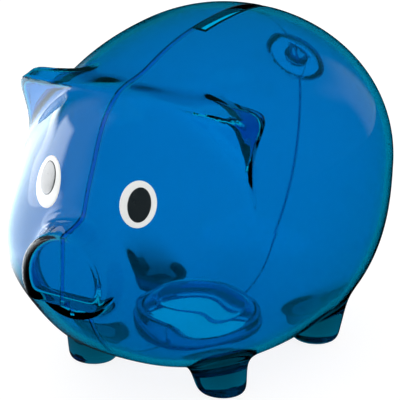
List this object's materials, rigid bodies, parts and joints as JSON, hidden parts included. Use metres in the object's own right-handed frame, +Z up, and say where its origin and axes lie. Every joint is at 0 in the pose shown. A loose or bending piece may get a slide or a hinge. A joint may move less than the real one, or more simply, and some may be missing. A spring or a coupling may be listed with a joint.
{
  "type": "piggy bank",
  "caption": "Hollow see-through plastic piggy bank in two lapped halves, with a coin slot in the back, printed eyes and a push-in belly plug.",
  "frame": {"origin": "on the ground plane that the four feet stand on, under the middle of the overall box, in the plane of symmetry", "axes": "+Z up; the pig faces -Y; +X is the pig's left side"},
  "size_m": [0.0774, 0.1148, 0.0817],
  "materials": {
    "shell": "polished, see-through blue tint",
    "plug": "polished, see-through blue tint",
    "white_ink": "printed ink, semi-gloss",
    "black_ink": "printed ink, semi-gloss"
  },
  "bodies": {
    "shell": {"left_shell": "shell", "right_shell": "shell", "left_eye_white": "white_ink", "right_eye_white": "white_ink", "left_eye_pupil": "black_ink", "right_eye_pupil": "black_ink"},
    "plug": {"belly_plug": "plug"}
  },
  "joints": [
    {"name": "plug_pull", "type": "slide", "parent": "shell", "child": "plug", "axis": [0, 0, -1], "range_m": [0, 0.02]}
  ]
}
